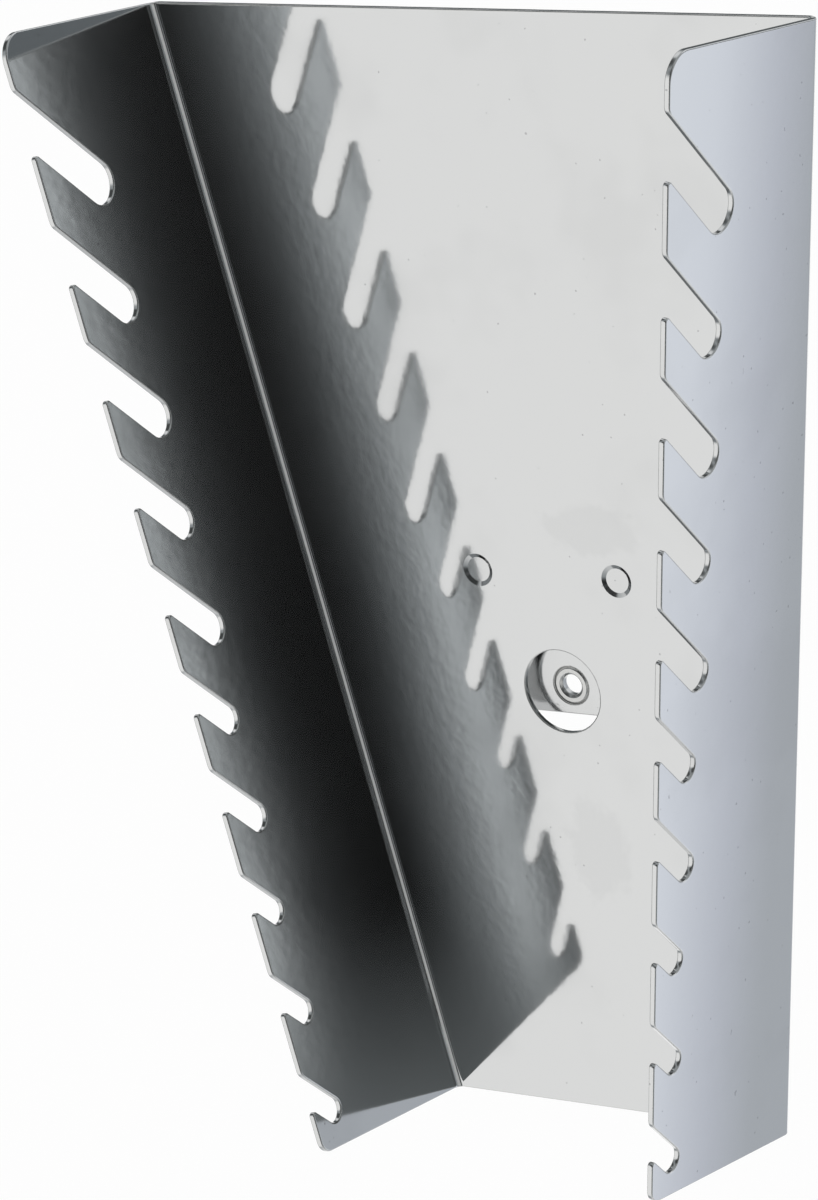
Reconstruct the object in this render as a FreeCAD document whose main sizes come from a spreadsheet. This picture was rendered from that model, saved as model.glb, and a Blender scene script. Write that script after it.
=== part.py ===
import FreeCAD, Part
import math
import os
import Sketcher

# Wall rack for a row of combination wrenches: one folded sheet with a tapered back and
# two slotted flanges, a hooked bracket joined behind the back, and a press nut in the bracket.
#
# Frame: +Z up, the open side of the rack looks along -Y, +X to the right.
# The origin is on the axis of the nut, in the plane of the perforated panel behind the rack.
# The sub-parts are drawn from the middle of the lower edge of the back's front face.

# Driving sizes in millimetres, angles in degrees.
SIZES = {
    "height": 270.0,            # back, lower edge to upper edge
    "top_width": 180.0,         # over the flanges at the upper edge
    "bottom_width": 94.0,       # over the flanges at the lower edge
    "sheet": 1.5,               # sheet of the rack and of the bracket
    "bend_radius": 1.5,         # inside radius of every bend
    "flange_depth": 58.4,       # front face of the back to the front edge of a flange
    "flange_lean": 2.5,         # each flange is folded this much past square
    "end_slope": 8.0,           # rise of a flange's end edges towards the front
    "top_corner": 6.2,          # radius of a flange's upper front corner
    "bottom_corner": 3.5,       # radius of a flange's lower front corner
    "slot_angle": 45.0,         # slots against the front edge, falling towards the back
    "first_slot": 5.0,          # upper fold corner to the first slot, along the flange
    "land_first": 17.6,         # front edge left between the first slot and the second
    "land_upper": 14.85,        # the same between the slots from the second to the seventh
    "land_lower": 16.7,         # the same between the last slots
    "land_end": 6.0,            # least front edge below the last slot
    "slot_a_width": 10.2,
    "slot_b_width": 9.1,
    "slot_c_width": 7.9,
    "slot_d_width": 6.7,
    "slot_e_width": 6.0,
    "slot_a_depth": 20.6,       # front edge to the centre of the slot's round end
    "slot_b_depth": 17.3,
    "slot_c_depth": 15.3,
    "slot_d_depth": 11.4,
    "slot_e_depth": 8.0,
    "tooth_tip": 0.9,           # radius on the sharp upper corner of each tooth
    "tooth_heel": 3.0,          # radius on the blunt lower corner of each tooth
    "access_hole": 20.4,        # diameter of the hole in front of the nut
    "nut_height": 106.5,        # lower edge of the back to the axis of hole and nut
    "joint_above_nut": 28.7,    # nut's axis to the line through the pressed joints
    "joint_spacing": 38.0,      # one pitch of the panel
    "joint_mouth": 8.0,         # diameter of a pressed joint at the face of the sheet
    "joint_floor": 6.0,
    "joint_press": 0.45,        # depth of a pressed joint
    "hook_spacing": 76.0,       # between the hooks' middles, two pitches of the panel
    "strip_height": 22.0,       # bracket strip along the back
    "hook_neck": 9.0,           # height of the arm that rests in the panel's hole
    "hook_gap": 2.4,            # room for the panel between ear and hook
    "hook_tip": 4.0,            # thickness of the hook behind the panel
    "hook_drop": 8.0,           # reach of the hook below its arm
    "hook_round": 3.0,          # radius on the hook's upper rear corner
    "tip_round": 1.2,           # radius on the two corners of the hook's tip
    "tab_set_back": 2.4,        # step of the tab behind the strip
    "tab_width": 32.0,
    "tab_reach": 7.1,           # nut axis to the tab's lower edge
    "tab_corner": 3.0,
    "step_below_strip": 3.0,    # flat piece between the strip and the step
    "step_angle": 45.0,
    "nut_diameter": 9.4,
    "nut_length": 2.4,
    "nut_bore": 5.0,            # core of the thread
    "nut_edge": 0.55,           # chamfer on the nut's outer front edge
    "nut_front_sink": 0.65,     # countersink at the front
    "nut_rear_sink": 0.3,       # countersink at the rear
}

SLOT_KINDS = ["a", "b", "b", "c", "c", "d", "d", "e", "e", "e"]
LANDS = ["first", "upper", "upper", "upper", "upper", "upper", "lower", "lower", "lower", "lower"]
BEND_STEPS = 6

# Formulas in the sheet's values, used in more than one place.
TILT = "atan((sizes.top_width - sizes.bottom_width) / (2 * sizes.height))"
FOLD_LENGTH = f"(sizes.height / cos({TILT}))"
OUTER_RADIUS = "(sizes.bend_radius + sizes.sheet)"
FLANGE_SEAM = (f"((sizes.bend_radius + {OUTER_RADIUS} * sin(sizes.flange_lean))"
               " / cos(sizes.flange_lean))")
BACK_SEAM = (f"({FLANGE_SEAM} * sin(sizes.flange_lean)"
             f" + {OUTER_RADIUS} * cos(sizes.flange_lean))")
BEND_ANGLE = "(90 + sizes.flange_lean)"
SEAM_DROP = f"({BACK_SEAM} * tan({TILT}))"
FLANGE_RISE = f"((sizes.flange_depth - {FLANGE_SEAM}) * tan(sizes.end_slope))"
TAB_FRONT = "(sizes.sheet + sizes.tab_set_back)"
PANEL_PLANE = f"({TAB_FRONT} + sizes.sheet)"
JOINT_HEIGHT = "(sizes.nut_height + sizes.joint_above_nut)"
STRIP_TOP = f"({JOINT_HEIGHT} + sizes.strip_height / 2)"
STRIP_BOTTOM = f"({JOINT_HEIGHT} - sizes.strip_height / 2)"

# Frame on the left fold line: X down the fold, Y outwards across it, Z towards the rear.
FOLD_FRAME = ("placement(vector(-sizes.top_width / 2; 0; sizes.height);"
              f" rotationy(90 deg - {TILT}) * rotationx(-90))")

doc = FreeCAD.newDocument("wrench_rack")
sheet = doc.addObject("Spreadsheet::Sheet", "sizes")
for row, (alias, number) in enumerate(SIZES.items(), start=1):
    sheet.set(f"A{row}", alias)
    sheet.set(f"B{row}", str(number))
    sheet.setAlias(f"B{row}", alias)
doc.recompute()


def value(formula):
    """The number that a formula in the sheet's values stands for."""
    result = sheet.evalExpression(formula)
    return float(getattr(result, "Value", result))


def new_body(label):
    """An empty sub-part in the frame that has the nut's axis and the panel's plane at zero."""
    body = doc.addObject("PartDesign::Body", label)
    body.Label = label
    body.setExpression("Placement.Base.y", f"-{PANEL_PLANE}")
    body.setExpression("Placement.Base.z", "-sizes.nut_height")
    return body


def origin_plane(body, role):
    return next(plane for plane in body.Origin.OriginFeatures if plane.Role == role)


def new_sketch(body, name, placement):
    """A sketch on a plane given by a formula for its placement in the body."""
    sketch = body.newObject("Sketcher::SketchObject", name)
    sketch.AttachmentSupport = [(origin_plane(body, "XY_Plane"), "")]
    sketch.MapMode = "FlatFace"
    sketch.setExpression("AttachmentOffset", placement)
    doc.recompute()
    return sketch


def bind(sketch, constraint, formula):
    """Add a constraint whose size follows a formula."""
    index = sketch.addConstraint(constraint)
    sketch.setExpression(f"Constraints[{index}]", formula)


def pin(sketch, edge, end, across, along):
    """Fix one end of an edge by its two distances from the sketch's origin."""
    bind(sketch, Sketcher.Constraint("DistanceX", -1, 1, edge, end, value(across)), across)
    bind(sketch, Sketcher.Constraint("DistanceY", -1, 1, edge, end, value(along)), along)


def add_outline(sketch, corners):
    """A closed outline of straight edges through corners given as pairs of formulas."""
    points = [FreeCAD.Vector(value(across), value(along), 0) for across, along in corners]
    following = points[1:] + points[:1]
    edges = [sketch.addGeometry(Part.LineSegment(start, end), False)
             for start, end in zip(points, following)]
    for edge, after in zip(edges, edges[1:] + edges[:1]):
        sketch.addConstraint(Sketcher.Constraint("Coincident", edge, 2, after, 1))
    for edge, (across, along) in zip(edges, corners):
        pin(sketch, edge, 1, across, along)


def add_circle(sketch, across, along, diameter):
    centre = FreeCAD.Vector(value(across), value(along), 0)
    circle = sketch.addGeometry(
        Part.Circle(centre, FreeCAD.Vector(0, 0, 1), value(diameter) / 2), False)
    pin(sketch, circle, 3, across, along)
    bind(sketch, Sketcher.Constraint("Diameter", circle, value(diameter)), diameter)


def add_feature(body, kind, name, sketch, **options):
    feature = body.newObject(f"PartDesign::{kind}", name)
    feature.Profile = sketch
    for option, setting in options.items():
        setattr(feature, option, setting)
    return feature


def pad(body, name, sketch, length, **options):
    feature = add_feature(body, "Pad", name, sketch, **options)
    feature.setExpression("Length", length)
    doc.recompute()
    return feature


def pocket(body, name, sketch, length):
    """Cut evenly to both sides of the sketch's plane."""
    before = body.Shape.Volume
    feature = add_feature(body, "Pocket", name, sketch, Midplane=True)
    feature.setExpression("Length", length)
    doc.recompute()
    if feature.Shape.Volume >= before:
        raise ValueError(f"{name} cuts nothing")
    return feature


def turn(body, kind, name, sketch):
    """A full turn of the sketch about its upright axis."""
    feature = add_feature(body, kind, name, sketch, Angle=360)
    feature.ReferenceAxis = (sketch, ["V_Axis"])
    doc.recompute()
    return feature


def round_corners(body, name, spots, radius):
    """Fillet the straight edges whose middles lie on the given spots of the body."""
    base = body.Tip
    chosen = []
    for spot in spots:
        distances = [(edge.CenterOfMass - spot).Length for edge in base.Shape.Edges]
        nearest = distances.index(min(distances))
        chosen.append(f"Edge{nearest + 1}")
    feature = body.newObject("PartDesign::Fillet", name)
    feature.Base = (base, chosen)
    feature.setExpression("Radius", radius)
    doc.recompute()
    return feature


def mirror_across_middle(body, name):
    """Complete a left half by its mirror image in the plane X = 0."""
    feature = body.newObject("PartDesign::Mirrored", name)
    feature.MirrorPlane = (origin_plane(body, "YZ_Plane"), [""])
    feature.TransformMode = "Whole shape"
    feature.Refine = True
    body.Tip = feature
    doc.recompute()
    return feature


def placed(across, along, height, turns="rotationx(0)"):
    return f"placement(vector({across}; {along}; {height}); {turns})"


def slot_mouth(kind):
    """Formula for a slot's opening in the front edge."""
    return f"sizes.slot_{kind}_width / sin(sizes.slot_angle)"


def slots_that_fit():
    """Each slot's kind, with formulas for its two ends along the front edge of the flange.

    Distances run down the flange from the upper fold corner. A longer or shorter rack keeps
    the slots that leave the lower corner whole.
    """
    room = value(f"{FOLD_LENGTH} - {FLANGE_RISE} - sizes.land_end")
    start = "sizes.first_slot"
    slots = []
    for kind, land in zip(SLOT_KINDS, LANDS):
        end = f"({start} + {slot_mouth(kind)})"
        if value(end) > room:
            break
        slots.append((kind, start, end))
        start = f"({end} + sizes.land_{land})"
    return slots


def add_slot(sketch, kind, start):
    """One slot of the flange sketch, round at its inner end and open past the front edge."""
    across = (f"{start} + {slot_mouth(kind)} / 2"
              f" + sizes.slot_{kind}_depth / tan(sizes.slot_angle)")
    along = f"sizes.flange_depth - sizes.slot_{kind}_depth"
    reach = f"(sizes.slot_{kind}_depth + 2 * sizes.slot_{kind}_width) / sin(sizes.slot_angle)"
    half_width = f"sizes.slot_{kind}_width / 2"
    centre = FreeCAD.Vector(value(across), value(along), 0)
    heading = value("180 - sizes.slot_angle")
    outwards = FreeCAD.Rotation(FreeCAD.Vector(0, 0, 1), heading).multVec(FreeCAD.Vector(1, 0, 0))
    sideways = FreeCAD.Vector(outwards.y, -outwards.x, 0)
    upper = centre - sideways * value(half_width)
    lower = centre + sideways * value(half_width)
    upper_mouth = upper + outwards * value(reach)
    lower_mouth = lower + outwards * value(reach)
    inner_end = Part.Arc(upper, centre - outwards * value(half_width), lower)
    arc = sketch.addGeometry(inner_end, False)
    lower_edge = sketch.addGeometry(Part.LineSegment(lower, lower_mouth), False)
    mouth = sketch.addGeometry(Part.LineSegment(lower_mouth, upper_mouth), False)
    upper_edge = sketch.addGeometry(Part.LineSegment(upper_mouth, upper), False)
    arc_start = sketch.getPoint(arc, 1)
    starts_at_lower = (arc_start - lower).Length < (arc_start - upper).Length
    lower_end, upper_end = (1, 2) if starts_at_lower else (2, 1)
    for constraint in [
            Sketcher.Constraint("Tangent", arc, lower_end, lower_edge, 1),
            Sketcher.Constraint("Tangent", arc, upper_end, upper_edge, 2),
            Sketcher.Constraint("Coincident", lower_edge, 2, mouth, 1),
            Sketcher.Constraint("Coincident", mouth, 2, upper_edge, 1),
            Sketcher.Constraint("Parallel", lower_edge, upper_edge),
            Sketcher.Constraint("Perpendicular", mouth, lower_edge)]:
        sketch.addConstraint(constraint)
    pin(sketch, arc, 3, across, along)
    bind(sketch, Sketcher.Constraint("Radius", arc, value(half_width)), half_width)
    bind(sketch, Sketcher.Constraint("Distance", lower_edge, value(reach)), reach)
    angle = "180 deg - sizes.slot_angle * 1 deg"
    bind(sketch, Sketcher.Constraint("Angle", lower_edge, math.radians(value(angle))), angle)


def add_fold(body):
    """The bend: sheet-thick sections turned about the bend's axis, with sloping ends."""
    sections = []
    for step in range(BEND_STEPS + 1):
        part_way = f"{step} / {BEND_STEPS}"
        turn_so_far = f"rotationx(90 - {BEND_ANGLE} * {part_way})"
        on_axis = placed("0", f"-{BACK_SEAM}", "-sizes.bend_radius", turn_so_far)
        section = new_sketch(body, f"fold_section_{step}", f"{FOLD_FRAME} * {on_axis}")
        upper = f"{SEAM_DROP} * (1 - {part_way})"
        lower = f"{FOLD_LENGTH} + {upper}"
        add_outline(section, [(upper, "sizes.bend_radius"), (lower, "sizes.bend_radius"),
                              (lower, OUTER_RADIUS), (upper, OUTER_RADIUS)])
        sections.append(section)
    doc.recompute()
    fold = add_feature(body, "AdditiveLoft", "fold", sections[0], Ruled=False)
    fold.Sections = sections[1:]
    doc.recompute()


def make_rack_body():
    """One folded sheet: back with access hole and pressed joints, two flanges with slots."""
    body = new_body("rack_body")

    back = new_sketch(body, "back_outline", placed("0", "0", "0", "rotationx(90)"))
    seam_inset = f"{BACK_SEAM} / cos({TILT})"
    add_outline(back, [("0", "0"), ("0", "sizes.height"),
                       (f"{seam_inset} - sizes.top_width / 2", "sizes.height"),
                       (f"{seam_inset} - sizes.bottom_width / 2", "0")])
    pad(body, "half_back", back, "sizes.sheet", Reversed=True)

    add_fold(body)

    flange_frame = f"{FOLD_FRAME} * {placed('0', '0', '0', 'rotationx(-90 - sizes.flange_lean)')}"
    flange = new_sketch(body, "flange_outline", flange_frame)
    add_outline(flange, [("0", FLANGE_SEAM), (FOLD_LENGTH, FLANGE_SEAM),
                         (f"{FOLD_LENGTH} - {FLANGE_RISE}", "sizes.flange_depth"),
                         (f"-{FLANGE_RISE}", "sizes.flange_depth")])
    pad(body, "flange", flange, "sizes.sheet", Reversed=True)

    outlines = new_sketch(body, "slot_outlines", flange_frame)
    slots = slots_that_fit()
    for kind, start, end in slots:
        add_slot(outlines, kind, start)
    doc.recompute()
    pocket(body, "slots", outlines, "4 * sizes.sheet")

    def on_front_edge(distance):
        """Middle of the sheet at the front edge, so far from the upper fold corner."""
        spot = FreeCAD.Vector(value(distance), value("sizes.flange_depth"), -value("sizes.sheet") / 2)
        return flange.Placement.multVec(spot)

    tips = [on_front_edge(end) for kind, start, end in slots]
    round_corners(body, "tooth_tips", tips, "sizes.tooth_tip")
    heels = [on_front_edge(start) for kind, start, end in slots]
    round_corners(body, "tooth_heels", heels, "sizes.tooth_heel")
    round_corners(body, "upper_corner", [on_front_edge(f"-{FLANGE_RISE}")], "sizes.top_corner")
    lower_corner = on_front_edge(f"{FOLD_LENGTH} - {FLANGE_RISE}")
    round_corners(body, "lower_corner", [lower_corner], "sizes.bottom_corner")

    add_pressed_joint(body, "0")
    mirror_across_middle(body, "both_sides")

    hole = new_sketch(body, "hole_outline", placed("0", "0", "0", "rotationx(90)"))
    add_circle(hole, "0", "sizes.nut_height", "sizes.access_hole")
    pocket(body, "access_hole", hole, "4 * sizes.sheet")
    return body


def add_pressed_joint(body, front):
    """The left joint: a round dish pressed from the front, which stands out at the rear.

    front is the depth of the sheet's front face behind the front of the rack's back.
    """
    middle = placed("-sizes.joint_spacing / 2", "0", JOINT_HEIGHT)
    rear = f"({front} + sizes.sheet)"
    for kind, name, face in [("Revolution", "joint_boss", rear), ("Groove", "joint_dish", front)]:
        profile = new_sketch(body, f"{name}_profile", middle)
        floor = f"{face} + sizes.joint_press"
        add_outline(profile, [("0", face), ("sizes.joint_mouth / 2", face),
                              ("sizes.joint_floor / 2", floor), ("0", floor)])
        turn(body, kind, name, profile)


def make_panel_bracket():
    """One folded sheet: strip behind the back, two ears with hooks, tab stepped to the panel."""
    body = new_body("panel_bracket")
    half_sheet = "sizes.sheet / 2"
    ear_inside = f"({half_sheet} - sizes.hook_spacing / 2)"
    ear_outside = f"(-{half_sheet} - sizes.hook_spacing / 2)"
    strip_rear = "2 * sizes.sheet"
    hook_front = f"({PANEL_PLANE} + sizes.hook_gap)"
    hook_rear = f"({hook_front} + sizes.hook_tip)"
    neck_bottom = f"({STRIP_TOP} - sizes.hook_neck)"
    tip_bottom = f"({neck_bottom} - sizes.hook_drop)"

    plan = new_sketch(body, "strip_plan", placed("0", "0", STRIP_BOTTOM))
    add_outline(plan, [("0", "sizes.sheet"), (ear_outside, "sizes.sheet"),
                       (ear_outside, hook_rear), (ear_inside, hook_rear),
                       (ear_inside, strip_rear), ("0", strip_rear)])
    pad(body, "half_strip", plan, "sizes.strip_height")

    def upright(across, along):
        return FreeCAD.Vector(value(across), value(along), value(JOINT_HEIGHT))

    round_corners(body, "ear_bend_inside", [upright(ear_inside, strip_rear)], "sizes.bend_radius")
    round_corners(body, "ear_bend_outside", [upright(ear_outside, "sizes.sheet")], OUTER_RADIUS)

    side_view = "rotationz(90) * rotationx(90)"
    ear_middle = "-sizes.hook_spacing / 2"
    hook = new_sketch(body, "hook_cut", placed(ear_middle, "0", "0", side_view))
    below = f"{STRIP_BOTTOM} - sizes.sheet"
    behind = f"{hook_rear} + sizes.sheet"
    add_outline(hook, [(PANEL_PLANE, below), (behind, below), (behind, tip_bottom),
                       (hook_front, tip_bottom), (hook_front, neck_bottom),
                       (PANEL_PLANE, neck_bottom)])
    pocket(body, "hook", hook, "4 * sizes.sheet")

    def on_ear(along, height):
        return FreeCAD.Vector(value(ear_middle), value(along), value(height))

    round_corners(body, "hook_corner", [on_ear(hook_rear, STRIP_TOP)], "sizes.hook_round")
    round_corners(body, "hook_tip", [on_ear(hook_rear, tip_bottom), on_ear(hook_front, tip_bottom)],
                  "sizes.tip_round")

    step_shift = "sizes.tab_set_back / tan(sizes.step_angle)"
    corner_shift = "sizes.sheet * tan(sizes.step_angle / 2)"
    step_top = f"({STRIP_BOTTOM} - sizes.step_below_strip)"
    tab_bottom = "(sizes.nut_height - sizes.tab_reach)"
    tab = new_sketch(body, "tab_side_view", placed("0", "0", "0", side_view))
    add_outline(tab, [("sizes.sheet", STRIP_BOTTOM), ("sizes.sheet", step_top),
                      (TAB_FRONT, f"{step_top} - {step_shift}"), (TAB_FRONT, tab_bottom),
                      (PANEL_PLANE, tab_bottom),
                      (PANEL_PLANE, f"{step_top} - {step_shift} + {corner_shift}"),
                      (strip_rear, f"{step_top} + {corner_shift}"), (strip_rear, STRIP_BOTTOM)])
    pad(body, "half_tab", tab, "sizes.tab_width / 2", Reversed=True)

    def across_tab(along, height):
        return FreeCAD.Vector(-value("sizes.tab_width") / 4, value(along), value(height))

    round_corners(body, "step_inside",
                  [across_tab("sizes.sheet * 2", f"{step_top} + {corner_shift}"),
                   across_tab(TAB_FRONT, f"{step_top} - {step_shift}")], "sizes.bend_radius")
    round_corners(body, "step_outside",
                  [across_tab("sizes.sheet", step_top),
                   across_tab(PANEL_PLANE, f"{step_top} - {step_shift} + {corner_shift}")],
                  OUTER_RADIUS)
    tab_corner = FreeCAD.Vector(-value("sizes.tab_width") / 2,
                                value(f"{TAB_FRONT} + {half_sheet}"), value(tab_bottom))
    round_corners(body, "tab_corner", [tab_corner], "sizes.tab_corner")

    add_pressed_joint(body, "sizes.sheet")
    mirror_across_middle(body, "both_sides")

    seat = new_sketch(body, "nut_seat_outline", placed("0", TAB_FRONT, "0", "rotationx(90)"))
    add_circle(seat, "0", "sizes.nut_height", "sizes.nut_diameter")
    pocket(body, "nut_seat", seat, "4 * sizes.sheet")
    return body


def make_press_nut():
    """Round nut pressed into the tab, flush at the front and standing out into the panel's hole."""
    body = new_body("press_nut")
    profile = new_sketch(body, "nut_profile",
                         placed("0", TAB_FRONT, "sizes.nut_height"))
    bore = "sizes.nut_bore / 2"
    outside = "sizes.nut_diameter / 2"
    add_outline(profile, [
        (f"{bore} + sizes.nut_front_sink", "0"), (f"{outside} - sizes.nut_edge", "0"),
        (outside, "sizes.nut_edge"), (outside, "sizes.nut_length - sizes.nut_rear_sink"),
        (f"{outside} - sizes.nut_rear_sink", "sizes.nut_length"),
        (f"{bore} + sizes.nut_rear_sink", "sizes.nut_length"),
        (bore, "sizes.nut_length - sizes.nut_rear_sink"), (bore, "sizes.nut_front_sink")])
    turn(body, "Revolution", "nut", profile)
    return body


def check(parts):
    """Stop before anything is written if a feature or a solid failed."""
    for item in doc.Objects:
        if "Invalid" in item.State or "Error" in item.State:
            raise ValueError(f"{item.Name}: {item.State}")
    for part in parts:
        if part.Shape.isNull() or not part.Shape.isValid() or len(part.Shape.Solids) != 1:
            raise ValueError(f"{part.Label} is not one valid solid")


parts = [make_rack_body(), make_panel_bracket(), make_press_nut()]
doc.recompute()
check(parts)
os.makedirs("parts", exist_ok=True)
for part in parts:
    part.Shape.exportStep(f"parts/{part.Label}.step")
    print(part.Label, round(part.Shape.Volume, 1), part.Shape.BoundBox)
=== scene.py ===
import math

import bpy
from mathutils import Matrix, Quaternion, Vector

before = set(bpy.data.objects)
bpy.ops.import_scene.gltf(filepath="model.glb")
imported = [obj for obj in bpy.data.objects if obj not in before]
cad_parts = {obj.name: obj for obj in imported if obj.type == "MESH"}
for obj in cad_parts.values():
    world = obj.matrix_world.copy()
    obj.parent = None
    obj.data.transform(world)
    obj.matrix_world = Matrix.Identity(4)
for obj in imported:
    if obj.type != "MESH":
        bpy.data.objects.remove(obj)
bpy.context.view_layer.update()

# Camera: the photograph's viewing angle, fitted to the rack's edges.
VIEW_AZIMUTH = math.radians(36.0)
VIEW_ELEVATION = math.radians(18.83)
VIEW_ROLL = math.radians(-8.16)
VIEW_DISTANCE = 1.3862
VIEW_SIDEWAYS = -0.03174
VIEW_UPWARDS = -0.00544
VIEW_CENTRE = Vector((0.0, -0.0054, 0.0285))
LENS_TO_FRAME_HEIGHT = 6010.5 / 1200.0
FRAME_HEIGHT = 24.0
FARTHEST_SEEN = 100.0

# The sheet's cut edges are rounded by deburring before plating. They are the edges that turn by
# more than the edge angle, and the second material is the wear on them.
EDGE_ROUND = 0.00036
NUT_EDGE_ROUND = 0.00012
EDGE_STEPS = 5
EDGE_ANGLE = math.radians(35)
WORN_SLOT = 1
# Facets that turn by less than this are one smooth surface.
SMOOTH_ANGLE = math.radians(19)
# Facets that turn by less than this are one flat face.
FLAT_ANGLE = math.radians(0.4)
# Corners nearer than this are one corner.
SAME_CORNER = 1e-6

# Fold lines of the two flanges: halfway up the right one, its inside corner, and the way it rises.
FOLD_MIDDLE = Vector((0.0685, -0.0054, 0.032))
INSIDE_CORNER = Vector((0.06746, -0.0054, 0.032))
FOLD_RISE = Vector((43.0, 0.0, 270.0)).normalized()

# Zinc plating: its colour, how wide its clear reflection and its haze spread, and the haze's share.
ZINC = (0.70, 0.705, 0.705)
CLEAR_ROUGHNESS = 0.056
BRACKET_CLEAR_ROUGHNESS = 0.14
HAZE_ROUGHNESS = 0.44
HAZE_SHARE = 0.03
# Cut edges are rubbed paler and duller than the faces.
WORN_ZINC = (0.74, 0.74, 0.73)
WORN_ROUGHNESS = 0.20
WORN_HAZE_SHARE = 0.2
NUT_STEEL = (0.66, 0.66, 0.65)
NUT_ROUGHNESS = 0.16
NUT_HAZE_SHARE = 0.1

# Broad smudges in the plating: their noise, where it starts to darken the metal, and how much.
SMUDGE_SCALE = 22.0
SMUDGE_DETAIL = 3.0
SMUDGE_GRAIN = 0.6
SMUDGE_START = 0.50
SMUDGE_FULL = 0.68
SMUDGE_TONE = 0.955
# The same noise makes the plating clearer in one place and duller in another.
CLEAN_BELOW = 0.3
DULL_ABOVE = 0.75
CLEAN_ROUGHNESS_SHARE = 0.85
DULL_ROUGHNESS_SHARE = 1.25
CLEAN_HAZE_SHARE = 0.92
DULL_HAZE_SHARE = 1.1
# Rare dark specks.
SPECK_SCALE = 900.0
SPECK_START = 0.83
SPECK_FULL = 0.86
SPECK_TONE = 0.75

# The sheet is never quite flat: waves a metre and their height, from rolling and from plating.
LONG_WAVES = 55.0
LONG_WAVE_HEIGHT = 0.000012
SHORT_WAVES = 430.0
SHORT_WAVE_HEIGHT = 0.000006
SHORT_WAVE_DETAIL = 1.5
# It is flattest on the flanges and by the folds, and waves most towards the back's middle.
FLAT_SHARE = 0.3
FLAT_END = 0.010
WAVY_START = 0.034

# Painted highlight: a pale diffuse band along the inside corner of each fold stands in for the
# bright reflection there.
FOLD_HIGHLIGHT_FULL = 0.00064
FOLD_HIGHLIGHT_END = 0.00080
FOLD_HIGHLIGHT_SHARE = 0.6
FOLD_HIGHLIGHT_COLOUR = (0.78, 0.79, 0.78, 1.0)
# Faint smears on the back: middle (sideways, upwards) and half size, in metres. They are full up
# to a share of the half size, end at another, and their edge wanders.
SMEARS = [((0.0046, -0.0393), (0.0085, 0.0120)), ((0.0137, 0.0408), (0.0130, 0.0062))]
SMEAR_TONE = 0.045
SMEAR_FULL = 0.75
SMEAR_END = 1.2
SMEAR_EDGE_SCALE = 260.0

# The studio as the metal sees it: a grey room with soft patches of light and of dark. For each
# patch, the way to it (azimuth, elevation), how far out it is full, where it ends, and its colour.
ROOM = (0.33, 0.35, 0.36)
ROOM_PATCHES = [
    ((150, -12), 30, 60, (0.42, 0.45, 0.49)),
    ((-155, -32), 22, 50, (1.0, 1.0, 1.0)),
    ((160, 36), 10, 28, (0.85, 0.87, 0.90)),
    ((-36, -19), 26, 46, (1.0, 1.0, 0.995)),
    ((-121, 48), 12, 26, (0.80, 0.81, 0.82)),
    ((0, -90), 18, 40, (0.75, 0.76, 0.77)),
    ((-144, 16), 10, 22, (0.09, 0.10, 0.105)),
    ((-75, 48), 14, 27, (0.05, 0.055, 0.055)),
    ((5, 30), 24, 36, (0.03, 0.033, 0.033)),
    ((146, 2), 10, 19, (0.13, 0.145, 0.155)),
    ((39, -6), 23, 36, (0.002, 0.003, 0.003)),
]
WHITE_LIGHT = (1.0, 1.0, 1.0)

CARD_HALF_HEIGHT = 0.30
# Card across the opening in front: the place in metres, the light there, and how cool it is.
FRONT_STOPS = [
    (-0.160, 0.002, 0.1), (-0.0385, 0.002, 0.1), (-0.030, 0.004, 0.1), (-0.023, 0.011, 0.1),
    (-0.016, 0.030, 0.1), (-0.009, 0.10, 0.07), (-0.004, 0.17, 0.05), (0.0, 0.42, 0.05),
    (0.005, 1.02, 0.05), (0.0096, 0.72, 0.05), (0.017, 0.38, 0.06), (0.025, 0.17, 0.08),
    (0.032, 0.045, 0.1), (0.040, 0.006, 0.1), (0.16, 0.002, 0.1),
]
FRONT_WAY = (40, -7)
FRONT_DISTANCE = 0.55
FRONT_LEAN = 0.9
# Its strip of light widens towards the top, and its lowest part is evenly lit.
FRONT_TOP_SPREAD = 1.3
SPREAD_START = 0.5
SPREAD_FULL = 0.85
LOW_END_LIGHT = (0.17, 0.185, 0.19)
LOW_END_FULL = 0.16
LOW_END_OVER = 0.31
# Grey card behind on the right: the place in metres, and the colour there.
BEHIND_STOPS = [
    (-0.20, (0.94, 0.98, 1.04)), (-0.060, (0.93, 0.97, 1.03)), (-0.030, (0.85, 0.89, 0.97)),
    (-0.012, (0.62, 0.65, 0.73)), (0.0, (0.49, 0.52, 0.56)), (0.03, (0.49, 0.52, 0.56)),
    (0.20, (0.49, 0.52, 0.57)),
]
BEHIND_WAY = (149, -28.5)
BEHIND_DISTANCE = 0.35
BEHIND_LEAN = -3.0

FLOOR_HEIGHT = -0.75
FLOOR_HALF = 30.0
FLOOR_COLOUR = (0.985, 0.985, 0.985, 1.0)


def direction(azimuth, elevation):
    """Unit vector: azimuth 0 looks out of the rack's open side, and grows towards the right."""
    turned, lifted = math.radians(azimuth), math.radians(elevation)
    return Vector((math.sin(turned) * math.cos(lifted),
                   -math.cos(turned) * math.cos(lifted), math.sin(lifted)))


def cool_grey(level, cool):
    """Grey of this level with a share less red, and half that share more blue."""
    return (level * (1 - cool), level, level * (1 + cool * 0.5))


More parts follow.
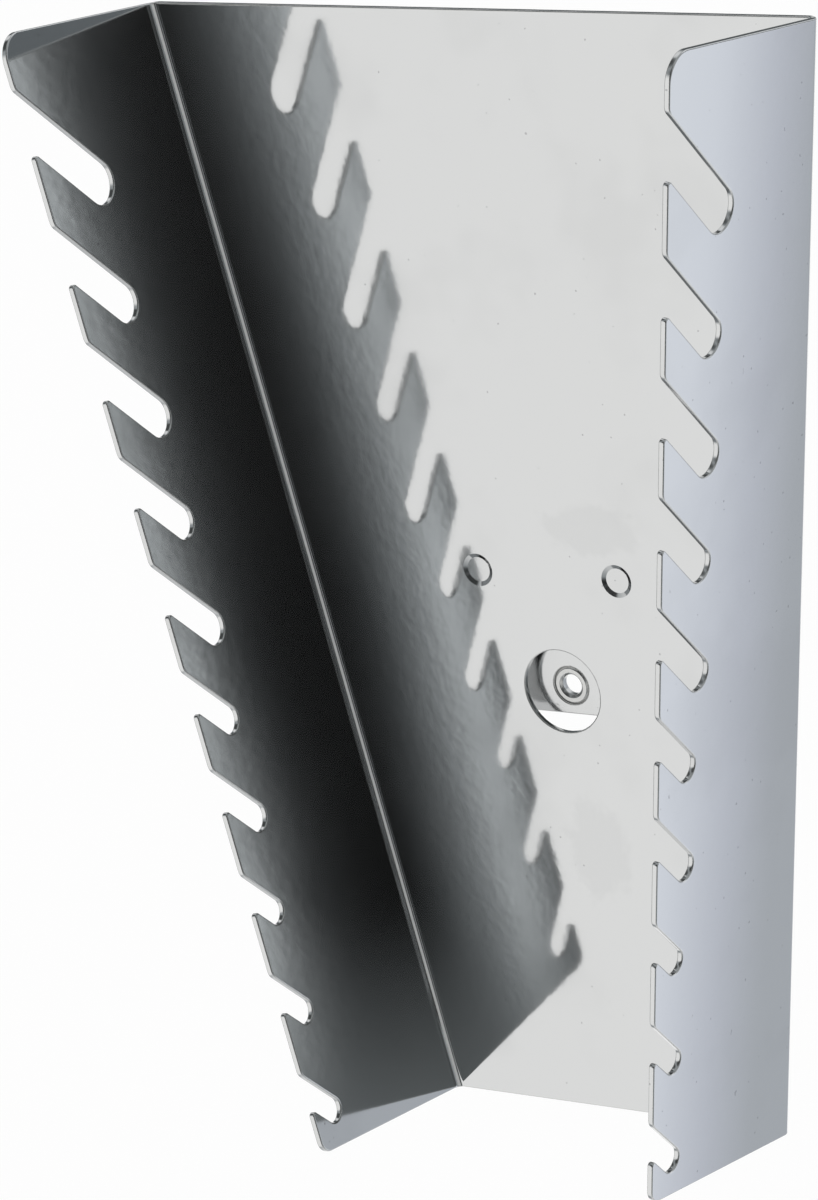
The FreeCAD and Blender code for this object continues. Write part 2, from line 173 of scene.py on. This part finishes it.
def make_camera():
    """Camera turned about the middle of the back, then slid sideways and upwards."""
    back = direction(math.degrees(VIEW_AZIMUTH), math.degrees(VIEW_ELEVATION))
    level_right = Vector((math.cos(VIEW_AZIMUTH), math.sin(VIEW_AZIMUTH), 0.0))
    level_up = back.cross(level_right)
    right = level_right * math.cos(VIEW_ROLL) + level_up * math.sin(VIEW_ROLL)
    up = level_up * math.cos(VIEW_ROLL) - level_right * math.sin(VIEW_ROLL)
    data = bpy.data.cameras.new("camera")
    data.sensor_fit = "VERTICAL"
    data.sensor_height = FRAME_HEIGHT
    data.lens = FRAME_HEIGHT * LENS_TO_FRAME_HEIGHT
    data.clip_end = FARTHEST_SEEN
    camera = bpy.data.objects.new("camera", data)
    turned = Matrix((right, up, back)).transposed().to_4x4()
    place = VIEW_CENTRE + back * VIEW_DISTANCE + right * VIEW_SIDEWAYS + up * VIEW_UPWARDS
    camera.matrix_world = Matrix.Translation(place) @ turned
    bpy.context.scene.collection.objects.link(camera)
    bpy.context.scene.camera = camera


class Tree:
    """A node tree, with short ways to add and join its nodes."""

    def __init__(self, owner):
        owner.use_nodes = True
        self.owner = owner
        self.nodes = owner.node_tree.nodes
        self.links = owner.node_tree.links
        self.nodes.clear()

    def feed(self, socket, source):
        if isinstance(source, bpy.types.NodeSocket):
            self.links.new(source, socket)
        else:
            socket.default_value = source

    def add(self, kind, settings=None, **inputs):
        node = self.nodes.new(kind)
        for key, setting in (settings or {}).items():
            setattr(node, key, setting)
        for key, source in inputs.items():
            self.feed(node.inputs[key.replace("_", " ")], source)
        return node

    def math(self, operation, first, second=0.0, third=0.0):
        node = self.nodes.new("ShaderNodeMath")
        node.operation = operation
        for socket, source in zip(node.inputs, (first, second, third)):
            self.feed(socket, source)
        return node.outputs[0]

    def vector_math(self, operation, first, second=(0.0, 0.0, 0.0)):
        node = self.nodes.new("ShaderNodeVectorMath")
        node.operation = operation
        self.feed(node.inputs[0], first)
        self.feed(node.inputs[1], second)
        return node

    def ease(self, amount, low, high, to_low=0.0, to_high=1.0):
        """Smooth step of amount, from to_low at low to to_high at high."""
        node = self.nodes.new("ShaderNodeMapRange")
        node.interpolation_type = "SMOOTHSTEP"
        for socket, source in zip(node.inputs, (amount, low, high, to_low, to_high)):
            self.feed(socket, source)
        return node.outputs[0]

    def ramp(self, amount, stops):
        """Colour ramp through (place, colour) stops, places from 0 to 1."""
        node = self.nodes.new("ShaderNodeValToRGB")
        self.feed(node.inputs["Fac"], amount)
        elements = node.color_ramp.elements
        while len(elements) < len(stops):
            elements.new(0.5)
        for element, (place, colour) in zip(elements, stops):
            element.position = place
            element.color = (*colour, 1.0)
        return node.outputs["Color"]

    def mix(self, amount, first, second):
        """Colour between first and second."""
        node = self.nodes.new("ShaderNodeMix")
        node.data_type = "RGBA"
        for socket, source in zip((node.inputs[0], node.inputs[6], node.inputs[7]),
                                  (amount, first, second)):
            self.feed(socket, source if not isinstance(source, tuple) else (*source, 1.0))
        return node.outputs[2]

    def mix_shaders(self, amount, first, second):
        node = self.add("ShaderNodeMixShader", Fac=amount)
        self.links.new(first, node.inputs[1])
        self.links.new(second, node.inputs[2])
        return node.outputs[0]

    def noise(self, place, scale, detail=2.0, roughness=0.5):
        node = self.add("ShaderNodeTexNoise", Vector=place, Scale=scale, Detail=detail,
                        Roughness=roughness)
        return node.outputs["Fac"]

    def split(self, vector):
        """The three parts of a vector."""
        node = self.nodes.new("ShaderNodeSeparateXYZ")
        self.links.new(vector, node.inputs[0])
        return node.outputs["X"], node.outputs["Y"], node.outputs["Z"]

    def finish(self, surface):
        kind = "ShaderNodeOutputWorld" if isinstance(self.owner, bpy.types.World) \
            else "ShaderNodeOutputMaterial"
        output = self.nodes.new(kind)
        self.links.new(surface, output.inputs["Surface"])
        return self.owner


def inside_fold(tree, sideways, upwards):
    """How far a place on the back is from the nearer fold, none on the flanges."""
    fold_slope = FOLD_RISE.x / FOLD_RISE.z
    foot = FOLD_MIDDLE.x - FOLD_MIDDLE.z * fold_slope
    fold_side = tree.math("MULTIPLY_ADD", upwards, fold_slope, foot)
    return tree.math("SUBTRACT", fold_side, tree.math("ABSOLUTE", sideways))


def painted_fold_highlight(tree, parts):
    """Share of the painted fold highlight, a pale diffuse band: most of it along the inside of a
    fold, none away from it.
    """
    sideways, outwards, upwards = parts
    mirrored = tree.add("ShaderNodeCombineXYZ", X=tree.math("ABSOLUTE", sideways), Y=outwards,
                        Z=upwards)
    offset = tree.vector_math("SUBTRACT", mirrored.outputs[0], tuple(INSIDE_CORNER)).outputs[0]
    across = tree.vector_math("CROSS_PRODUCT", offset, tuple(FOLD_RISE)).outputs[0]
    away = tree.vector_math("LENGTH", across).outputs["Value"]
    return tree.ease(away, FOLD_HIGHLIGHT_FULL, FOLD_HIGHLIGHT_END, FOLD_HIGHLIGHT_SHARE, 0.0)


def smears(tree, place, parts):
    """How much the smears darken the back."""
    wander = tree.math("SUBTRACT", tree.noise(place, SMEAR_EDGE_SCALE), 0.5)
    total = 0.0
    for middle, half_size in SMEARS:
        side, rise = (tree.math("DIVIDE", tree.math("SUBTRACT", coordinate, centre), half)
                      for coordinate, centre, half in zip((parts[0], parts[2]), middle, half_size))
        squares = tree.math("MULTIPLY_ADD", side, side, tree.math("MULTIPLY", rise, rise))
        away = tree.math("ADD", tree.math("SQRT", squares), wander)
        darkening = tree.ease(away, SMEAR_FULL, SMEAR_END, SMEAR_TONE, 0.0)
        total = tree.math("ADD", total, darkening)
    return total


def plated_metal(name, colour, clear, haze_share, waves=1.0, folded=False):
    """Plated steel: a clear reflection under a haze, over a sheet that is never quite flat."""
    tree = Tree(bpy.data.materials.new(name))
    place = tree.add("ShaderNodeTexCoord").outputs["Object"]
    smudge = tree.noise(place, SMUDGE_SCALE, SMUDGE_DETAIL, SMUDGE_GRAIN)
    speck = tree.noise(place, SPECK_SCALE, 0.0)
    tone = tree.ease(smudge, SMUDGE_START, SMUDGE_FULL, 1.0, SMUDGE_TONE)
    speck_tone = tree.ease(speck, SPECK_START, SPECK_FULL, 1.0, SPECK_TONE)
    tone = tree.math("MULTIPLY", tone, speck_tone)
    if folded:
        parts = tree.split(place)
        tone = tree.math("SUBTRACT", tone, smears(tree, place, parts))
    base = tree.vector_math("SCALE", colour)
    tree.feed(base.inputs["Scale"], tone)

    height = tree.math("MULTIPLY", tree.noise(place, LONG_WAVES, 0.0), LONG_WAVE_HEIGHT * waves)
    short_wave = tree.noise(place, SHORT_WAVES, SHORT_WAVE_DETAIL)
    height = tree.math("MULTIPLY_ADD", short_wave, SHORT_WAVE_HEIGHT * waves, height)
    if folded:
        inside = inside_fold(tree, parts[0], parts[2])
        waviness = tree.ease(inside, FLAT_END, WAVY_START, FLAT_SHARE, 1.0)
        height = tree.math("MULTIPLY", height, waviness)
    bumped = tree.add("ShaderNodeBump", Height=height, Distance=1.0, Strength=1.0).outputs["Normal"]

    dulling = tree.ease(smudge, CLEAN_BELOW, DULL_ABOVE, CLEAN_ROUGHNESS_SHARE, DULL_ROUGHNESS_SHARE)
    clear_lobe = tree.add("ShaderNodeBsdfPrincipled", Base_Color=base.outputs[0], Metallic=1.0,
                          Roughness=tree.math("MULTIPLY", clear, dulling), Normal=bumped)
    haze_lobe = tree.add("ShaderNodeBsdfAnisotropic", {"distribution": "BECKMANN"},
                         Color=base.outputs[0], Roughness=HAZE_ROUGHNESS, Normal=bumped)
    haze_now = tree.ease(smudge, CLEAN_BELOW, DULL_ABOVE,
                         haze_share * CLEAN_HAZE_SHARE, haze_share * DULL_HAZE_SHARE)
    metal = tree.mix_shaders(haze_now, clear_lobe.outputs["BSDF"], haze_lobe.outputs["BSDF"])
    if folded:
        # Painted highlight: a pale diffuse band mixed in along the inside of each fold.
        fold_highlight_lobe = tree.add("ShaderNodeBsdfDiffuse", Color=FOLD_HIGHLIGHT_COLOUR)
        metal = tree.mix_shaders(painted_fold_highlight(tree, parts), metal, fold_highlight_lobe.outputs["BSDF"])
    return tree.finish(metal)


def dress(node, material, worn, edge_round=EDGE_ROUND):
    """Give a CAD node its material, round its cut edges and give them their wear."""
    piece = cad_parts[node]
    piece.data.materials.clear()
    piece.data.materials.append(material)
    piece.data.materials.append(worn)
    weld = piece.modifiers.new("weld", "WELD")
    weld.merge_threshold = SAME_CORNER
    flat = piece.modifiers.new("flat_faces", "DECIMATE")
    flat.decimate_type = "DISSOLVE"
    flat.angle_limit = FLAT_ANGLE
    bevel = piece.modifiers.new("deburred", "BEVEL")
    bevel.width = edge_round
    bevel.segments = EDGE_STEPS
    bevel.limit_method = "ANGLE"
    bevel.angle_limit = EDGE_ANGLE
    bevel.use_clamp_overlap = False
    bevel.material = WORN_SLOT
    creases = piece.modifiers.new("creases", "EDGE_SPLIT")
    creases.split_angle = SMOOTH_ANGLE
    normals = piece.modifiers.new("normals", "WEIGHTED_NORMAL")
    normals.keep_sharp = False


def make_world():
    """White light on everything, and the grey room in the metal's reflections."""
    world = bpy.data.worlds.new("studio")
    bpy.context.scene.world = world
    tree = Tree(world)
    way = tree.add("ShaderNodeTexCoord").outputs["Generated"]
    colour = ROOM
    for middle, full, ends, light in ROOM_PATCHES:
        facing = tree.vector_math("DOT_PRODUCT", way, direction(*middle)).outputs["Value"]
        amount = tree.ease(facing, math.cos(math.radians(ends)), math.cos(math.radians(full)))
        colour = tree.mix(amount, colour, light)
    seen_in_metal = tree.add("ShaderNodeLightPath").outputs["Is Glossy Ray"]
    colour = tree.mix(seen_in_metal, WHITE_LIGHT, colour)
    background = tree.add("ShaderNodeBackground", Color=colour, Strength=1.0)
    tree.finish(background.outputs["Background"])


def make_card(name, fold, rise, way, distance, lean, stops, top_spread=1.0, low_end=None):
    """A studio card that runs along a fold, and is seen only in the metal.

    The stops are its colours across, in metres from the fold's line. It is turned by lean degrees,
    its colours spread wider towards the top, and its low end may have a light of its own.
    """
    towards = direction(*way)
    along = (rise - towards * rise.dot(towards)).normalized()
    along.rotate(Quaternion(towards, math.radians(lean)))
    across = along.cross(towards)
    centre = fold + towards * distance
    low, high = stops[0][0], stops[-1][0]
    bottom, top = -CARD_HALF_HEIGHT, CARD_HALF_HEIGHT
    corners = [centre + across * side + along * end
               for side, end in ((low, bottom), (high, bottom), (high, top), (low, top))]
    mesh = bpy.data.meshes.new(name)
    mesh.from_pydata([tuple(corner) for corner in corners], [], [(0, 1, 2, 3)])
    layer = mesh.uv_layers.new(name="across")
    for loop, corner in zip(layer.data, ((0, 0), (1, 0), (1, 1), (0, 1))):
        loop.uv = corner

    tree = Tree(bpy.data.materials.new(name))
    sideways, upwards, _ = tree.split(tree.add("ShaderNodeTexCoord").outputs["UV"])
    narrowing = tree.ease(upwards, SPREAD_START, SPREAD_FULL, 1.0, 1.0 / top_spread)
    from_middle = tree.math("SUBTRACT", sideways, 0.5)
    shares = [((place - low) / (high - low), colour) for place, colour in stops]
    colour = tree.ramp(tree.math("MULTIPLY_ADD", from_middle, narrowing, 0.5), shares)
    if low_end:
        colour = tree.mix(tree.ease(upwards, LOW_END_FULL, LOW_END_OVER), low_end, colour)
    emission = tree.add("ShaderNodeEmission", Color=colour)
    material = tree.finish(emission.outputs["Emission"])
    material.cycles.emission_sampling = "NONE"
    mesh.materials.append(material)

    card = bpy.data.objects.new(name, mesh)
    card.visible_camera = False
    card.visible_diffuse = False
    card.visible_shadow = False
    bpy.context.scene.collection.objects.link(card)


def make_cards():
    left_fold = Vector((-FOLD_MIDDLE.x, FOLD_MIDDLE.y, FOLD_MIDDLE.z))
    left_rise = Vector((-FOLD_RISE.x, FOLD_RISE.y, FOLD_RISE.z))
    front_stops = [(place, cool_grey(level, cool)) for place, level, cool in FRONT_STOPS]
    make_card("card_front", left_fold, left_rise, FRONT_WAY, FRONT_DISTANCE, FRONT_LEAN,
              front_stops, FRONT_TOP_SPREAD, LOW_END_LIGHT)
    make_card("card_behind", FOLD_MIDDLE, FOLD_RISE, BEHIND_WAY, BEHIND_DISTANCE, BEHIND_LEAN,
              BEHIND_STOPS)


def make_floor():
    tree = Tree(bpy.data.materials.new("floor"))
    surface = tree.add("ShaderNodeBsdfDiffuse", Color=FLOOR_COLOUR)
    half = FLOOR_HALF
    mesh = bpy.data.meshes.new("floor")
    mesh.from_pydata([(-half, -half, 0), (half, -half, 0), (half, half, 0), (-half, half, 0)],
                     [], [(0, 1, 2, 3)])
    mesh.materials.append(tree.finish(surface.outputs["BSDF"]))
    floor = bpy.data.objects.new("floor", mesh)
    floor.location.z = FLOOR_HEIGHT
    floor.visible_glossy = False
    bpy.context.scene.collection.objects.link(floor)


make_camera()
make_world()
make_floor()
make_cards()

worn_edge = plated_metal("worn_edge", WORN_ZINC, WORN_ROUGHNESS, WORN_HAZE_SHARE, waves=0.0)
plated_sheet = plated_metal("plated_sheet", ZINC, CLEAR_ROUGHNESS, HAZE_SHARE, folded=True)
bracket_sheet = plated_metal("bracket_sheet", ZINC, BRACKET_CLEAR_ROUGHNESS, HAZE_SHARE)
nut_steel = plated_metal("nut_steel", NUT_STEEL, NUT_ROUGHNESS, NUT_HAZE_SHARE, waves=0.0)
dress("rack_body", plated_sheet, worn_edge)
dress("panel_bracket", bracket_sheet, worn_edge)
dress("press_nut", nut_steel, worn_edge, NUT_EDGE_ROUND)

bpy.context.scene.view_settings.view_transform = "Standard"
